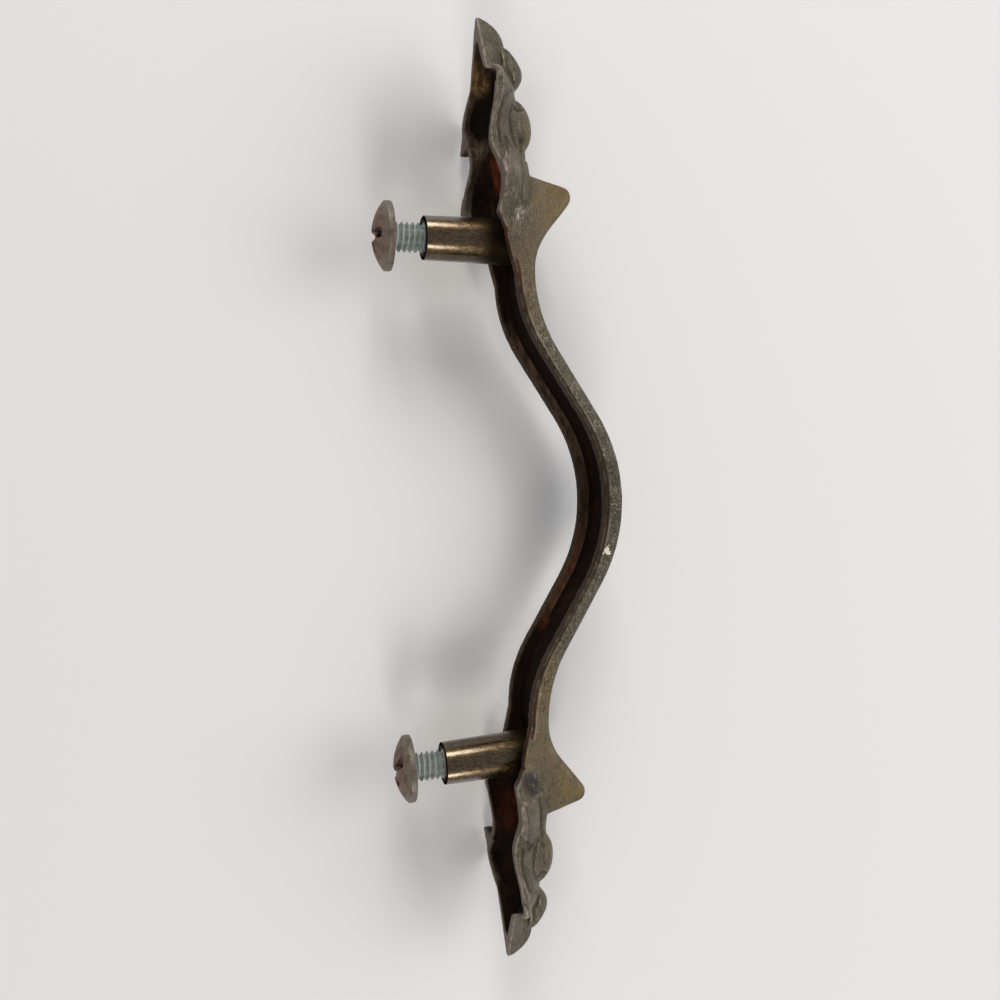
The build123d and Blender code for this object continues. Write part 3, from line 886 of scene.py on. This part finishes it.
def thread_tree(material):
    """A node tree that winds a thread round a core, along Z from its base."""
    tree = bpy.data.node_groups.new("Screw Thread", "GeometryNodeTree")
    tree.is_modifier = True
    sockets = {}
    for name, kind in (("Crest Radius", "NodeSocketFloat"), ("Root Radius", "NodeSocketFloat"),
                       ("Pitch", "NodeSocketFloat"), ("Length", "NodeSocketFloat"),
                       ("Tip", "NodeSocketFloat"), ("Turn Steps", "NodeSocketInt")):
        sockets[name] = tree.interface.new_socket(name, in_out="INPUT", socket_type=kind).identifier
    tree.interface.new_socket("Geometry", in_out="OUTPUT", socket_type="NodeSocketGeometry")
    start = tree.nodes.new("NodeGroupInput")
    finish = tree.nodes.new("NodeGroupOutput")

    def node(kind, **settings):
        made = tree.nodes.new(kind)
        for name, value in settings.items():
            setattr(made, name, value)
        return made

    def link(output, socket):
        tree.links.new(output, socket)

    def math_node(operation, first, second):
        made = node("ShaderNodeMath", operation=operation)
        for socket, value in zip(made.inputs, (first, second)):
            if isinstance(value, bpy.types.NodeSocket):
                link(value, socket)
            else:
                socket.default_value = value
        return made.outputs[0]

    def lifted(geometry, height):
        made = node("GeometryNodeTransform")
        place = node("ShaderNodeCombineXYZ")
        link(geometry, made.inputs["Geometry"])
        link(height, place.inputs["Z"])
        link(place.outputs["Vector"], made.inputs["Translation"])
        return made.outputs["Geometry"]

    wound = math_node("SUBTRACT", start.outputs["Length"], start.outputs["Tip"])
    spiral = node("GeometryNodeCurveSpiral")
    link(start.outputs["Turn Steps"], spiral.inputs["Resolution"])
    link(math_node("DIVIDE", wound, start.outputs["Pitch"]), spiral.inputs["Rotations"])
    link(start.outputs["Root Radius"], spiral.inputs["Start Radius"])
    link(start.outputs["Root Radius"], spiral.inputs["End Radius"])
    link(wound, spiral.inputs["Height"])
    upright = node("GeometryNodeSetCurveNormal", mode="Z_UP")
    link(spiral.outputs["Curve"], upright.inputs["Curve"])

    ridge = node("GeometryNodeCurvePrimitiveQuadrilateral", mode="KITE")
    height = math_node("SUBTRACT", start.outputs["Crest Radius"], start.outputs["Root Radius"])
    half_pitch = math_node("MULTIPLY", start.outputs["Pitch"], 0.5)
    link(math_node("MULTIPLY", height, 2.0), ridge.inputs["Width"])
    link(half_pitch, ridge.inputs["Bottom Height"])
    link(half_pitch, ridge.inputs["Top Height"])
    wind = node("GeometryNodeCurveToMesh")
    link(upright.outputs["Curve"], wind.inputs["Curve"])
    link(ridge.outputs["Curve"], wind.inputs["Profile Curve"])
    wind.inputs["Fill Caps"].default_value = True

    core = node("GeometryNodeMeshCylinder")
    core.inputs["Vertices"].default_value = CORE_SIDES
    link(start.outputs["Root Radius"], core.inputs["Radius"])
    link(start.outputs["Length"], core.inputs["Depth"])

    join = node("GeometryNodeJoinGeometry")
    link(lifted(wind.outputs["Mesh"], start.outputs["Tip"]), join.inputs["Geometry"])
    middle = math_node("MULTIPLY", start.outputs["Length"], 0.5)
    link(lifted(core.outputs["Mesh"], middle), join.inputs["Geometry"])
    real = node("GeometryNodeRealizeInstances")
    link(join.outputs["Geometry"], real.inputs["Geometry"])
    coat = node("GeometryNodeSetMaterial")
    coat.inputs["Material"].default_value = material
    link(real.outputs["Geometry"], coat.inputs["Geometry"])
    link(coat.outputs["Geometry"], finish.inputs["Geometry"])
    return tree, sockets


class PULL_OT_screws(Operator):
    """Build the two screws, each a head and a threaded shank"""

    bl_idname = "pull.screws"
    bl_label = "Screws"

    def execute(self, context):
        settings = context.scene.pull_screw_settings
        zinc = thread_finish(settings)
        dull = head_finish(settings)
        tree, sockets = thread_tree(zinc)
        for side in SIDES:
            node = side + "_screw"
            low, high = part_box(node)
            centre = (low + high) / 2.0
            work = merged_node(node)
            cut_at(work, work.faces[:], settings.head_seat - HEAD_OVERLAP, keep_front=False)
            head = working_piece(side + "_screw_head", work)
            reskin(head, settings.grain, settings.softening)
            settle(head)
            shade_smooth(head)
            measure_edges(head.data)
            head.data.materials.clear()
            head.data.materials.append(dull)

            shank = new_piece(side + "_screw_thread", bpy.data.meshes.new(side + "_screw_thread"))
            wind = shank.modifiers.new("Thread", "NODES")
            wind.node_group = tree
            wind[sockets["Crest Radius"]] = settings.crest_radius
            wind[sockets["Root Radius"]] = settings.root_radius
            wind[sockets["Pitch"]] = settings.pitch
            wind[sockets["Length"]] = settings.head_seat - low.y
            wind[sockets["Tip"]] = settings.tip
            wind[sockets["Turn Steps"]] = settings.turn_steps
            settle(shank)
            upright = Matrix.Rotation(-math.pi / 2.0, 4, "X")
            shank.data.transform(Matrix.Translation((centre.x, low.y, centre.z)) @ upright)
            shade_smooth(shank)
            shank.data.set_sharp_from_angle(angle=THREAD_CRISP)
            for piece in (head, shank):
                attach(piece, side + "_screw_body")
            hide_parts(node)
        return {"FINISHED"}


def floor_finish(settings):
    """Pale matt floor."""
    finish = Finish("Pale Floor")
    finish.feed("Base Color", settings.floor)
    finish.feed("Roughness", 0.9)
    return finish.material


def soft_light(name, place, width, height, power, tint):
    """A rectangular soft light that looks at the pull."""
    lamp = bpy.data.lights.new(name, "AREA")
    lamp.shape = "RECTANGLE"
    lamp.size = width
    lamp.size_y = height
    lamp.energy = power
    lamp.color = tint
    light = bpy.data.objects.new(name, lamp)
    light.location = place
    light.rotation_euler = (Vector(AIM) - Vector(place)).to_track_quat("-Z", "Y").to_euler()
    bpy.context.scene.collection.objects.link(light)


class PULL_OT_stage(Operator):
    """Set up the floor, the lights and the camera"""

    bl_idname = "pull.stage"
    bl_label = "Stage"

    def execute(self, context):
        settings = context.scene.pull_stage_settings
        scene = context.scene
        scene.view_settings.view_transform = "Standard"
        ground = CAD_BOX[0][2] - FLOOR_GAP
        corners = [(across * FLOOR_REACH, along * FLOOR_REACH, ground)
                   for across, along in ((-1, -1), (1, -1), (1, 1), (-1, 1))]
        mesh = bpy.data.meshes.new("floor")
        mesh.from_pydata(corners, [], [(0, 1, 2, 3)])
        floor = new_piece("floor", mesh)
        mesh.materials.append(floor_finish(settings))

        world = bpy.data.worlds.new("Even Light")
        world.use_nodes = True
        nodes, links = world.node_tree.nodes, world.node_tree.links
        sky = nodes["Background"]
        sky.inputs["Color"].default_value = (0.93, 0.95, 1.0, 1.0)
        sky.inputs["Strength"].default_value = settings.sky
        backdrop = nodes.new("ShaderNodeBackground")
        backdrop.inputs["Color"].default_value = settings.floor
        seen = nodes.new("ShaderNodeMixShader")
        links.new(nodes.new("ShaderNodeLightPath").outputs["Is Camera Ray"], seen.inputs["Fac"])
        links.new(sky.outputs["Background"], seen.inputs[1])
        links.new(backdrop.outputs["Background"], seen.inputs[2])
        links.new(seen.outputs["Shader"], nodes["World Output"].inputs["Surface"])
        scene.world = world

        near_power = settings.near_share * settings.side
        soft_light("Key", (0.06, -0.50, 0.42), 0.5, 0.4, settings.key, (0.95, 0.97, 1.0))
        soft_light("Far side", (0.55, 0.05, 0.30), 0.20, 0.22, settings.side, (1.0, 0.97, 0.92))
        soft_light("Near side", (-0.50, 0.05, 0.34), 0.16, 0.16, near_power, (1.0, 0.96, 0.9))

        camera = bpy.data.cameras.new("Camera")
        camera.sensor_width = 36.0
        camera.lens = settings.lens
        camera.clip_start = 0.005
        view = bpy.data.objects.new("Camera", camera)
        right = Vector(settings.camera_right).normalized()
        up = -Vector(settings.camera_down)
        up = (up - right * up.dot(right)).normalized()
        turn = Matrix((right, up, right.cross(up))).transposed().to_4x4()
        view.matrix_world = Matrix.Translation(Vector(settings.camera_place)) @ turn
        scene.collection.objects.link(view)
        scene.camera = view
        return {"FINISHED"}


class PULL_PT_panel(Panel):
    """The drawer pull's settings and steps"""

    bl_idname = "PULL_PT_panel"
    bl_label = "Drawer Pull"
    bl_space_type = "VIEW_3D"
    bl_region_type = "UI"
    bl_category = "Drawer Pull"

    def draw(self, context):
        for group, operator in zip(SETTINGS, STEPS):
            box = self.layout.box()
            settings = getattr(context.scene, group)
            for name in settings.__annotations__:
                box.prop(settings, name)
            box.operator(operator.bl_idname)


STEPS = (PULL_OT_casting, PULL_OT_posts, PULL_OT_screws, PULL_OT_stage)
CLASSES = (*SETTINGS.values(), *STEPS, PULL_PT_panel)


def register():
    """Registers the classes and hangs the settings on the scene."""
    for item in CLASSES:
        bpy.utils.register_class(item)
    for name, group in SETTINGS.items():
        setattr(bpy.types.Scene, name, PointerProperty(type=group))


def unregister():
    """Takes the settings and the classes away again."""
    for name in SETTINGS:
        delattr(bpy.types.Scene, name)
    for item in reversed(CLASSES):
        bpy.utils.unregister_class(item)


def main():
    """Builds every piece."""
    register()
    bpy.ops.pull.casting()
    bpy.ops.pull.posts()
    bpy.ops.pull.screws()
    bpy.ops.pull.stage()


if __name__ == "__main__":
    main()
